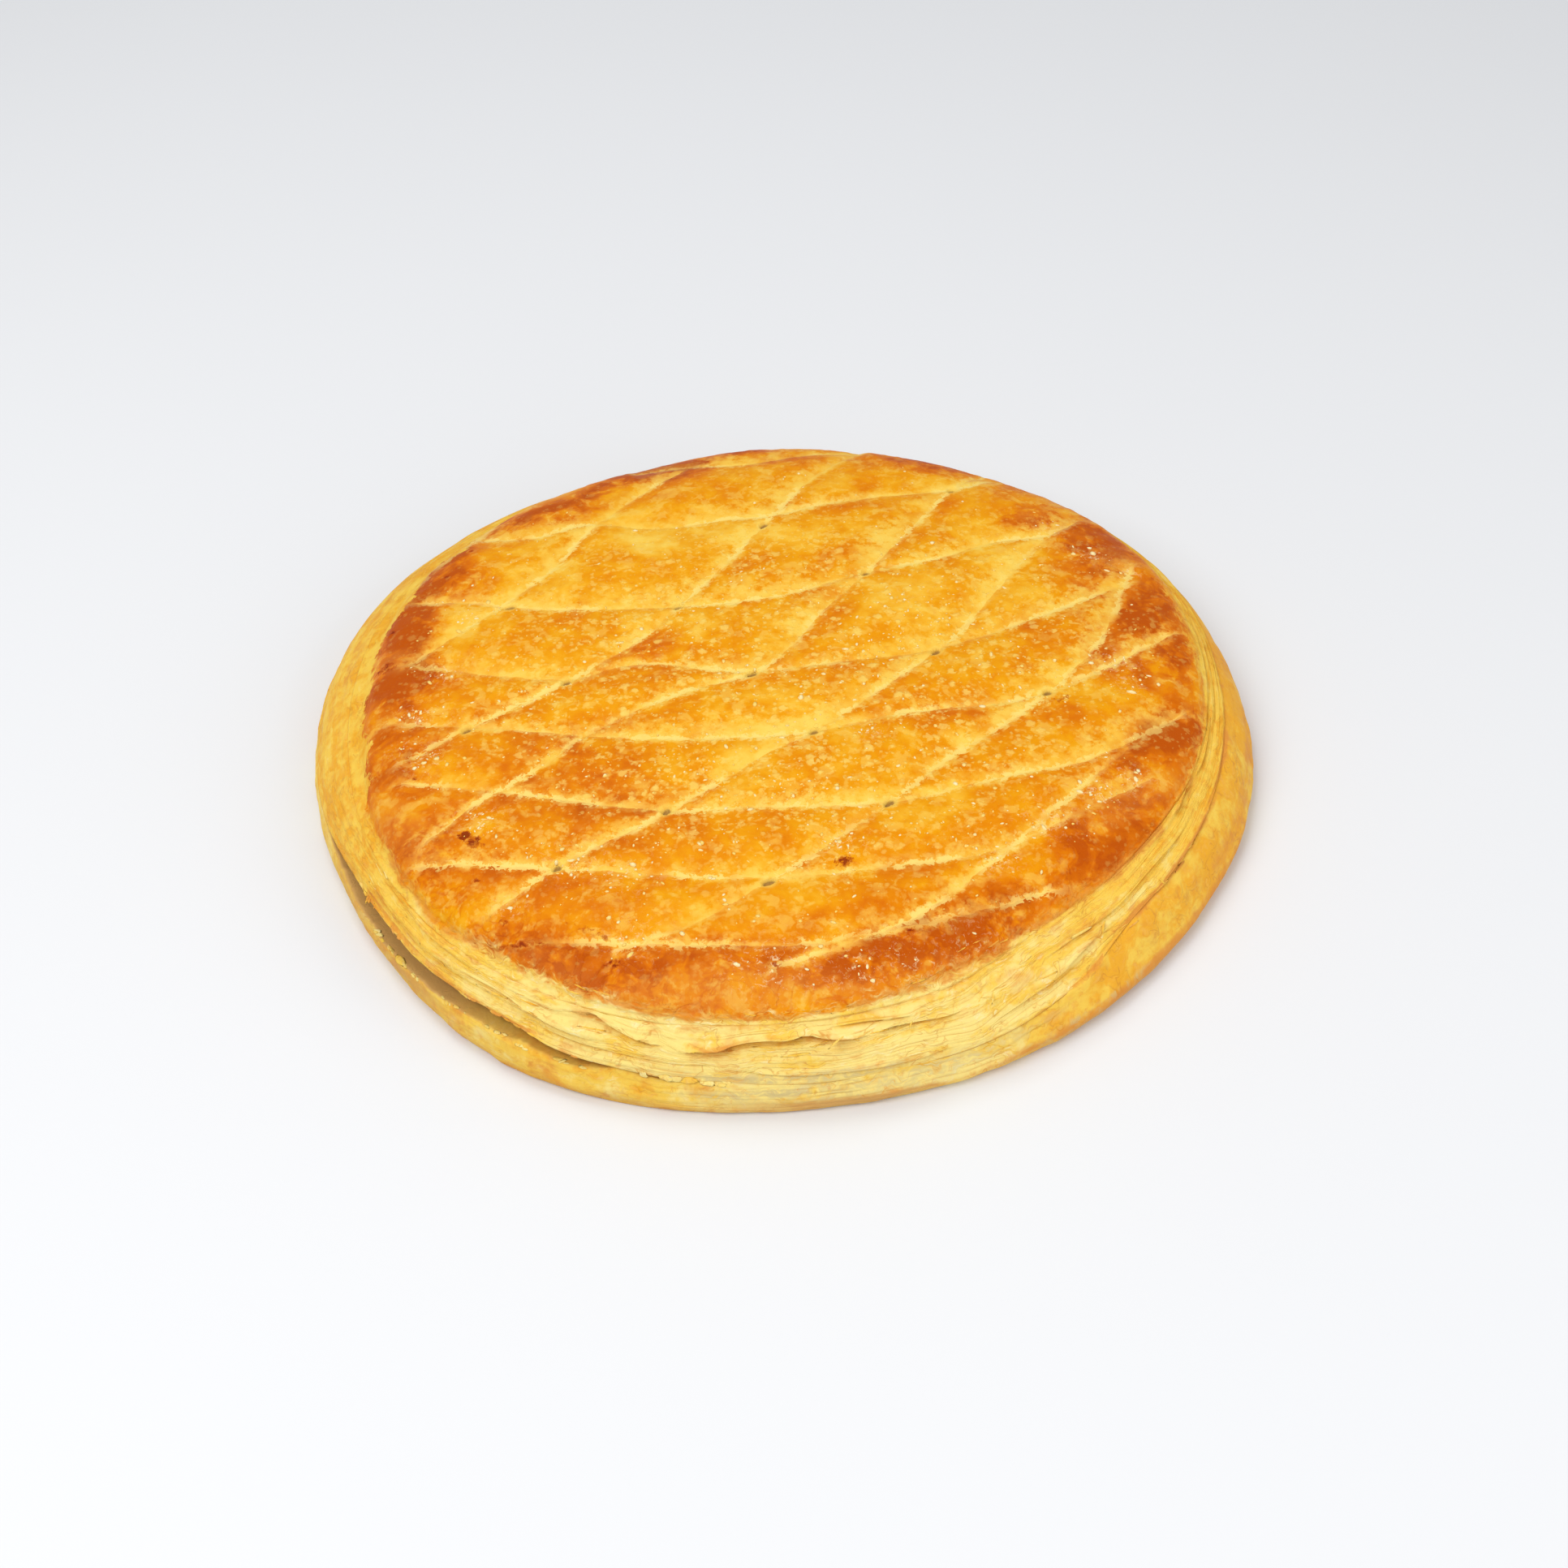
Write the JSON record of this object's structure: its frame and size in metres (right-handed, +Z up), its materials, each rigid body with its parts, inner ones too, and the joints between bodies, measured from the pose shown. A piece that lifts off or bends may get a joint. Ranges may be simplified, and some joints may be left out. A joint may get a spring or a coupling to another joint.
{
  "type": "galette des rois",
  "caption": "Round puff-pastry pie with a domed, browned lid scored in a lattice of arcs, small vents and a layered, flaring side on a flat base.",
  "frame": {"origin": "middle of the flat bottom, on the surface the pie rests on", "axes": "+Z up through the crown of the lid, +X and +Y across the pie; the pie is round apart from its baked unevenness"},
  "size_m": [0.2508, 0.2434, 0.0341],
  "materials": {
    "crust": "egg-washed, baked puff pastry: satin amber lid, matt pale yellow side"
  },
  "bodies": {
    "root": {"galette": "crust"}
  },
  "joints": []
}
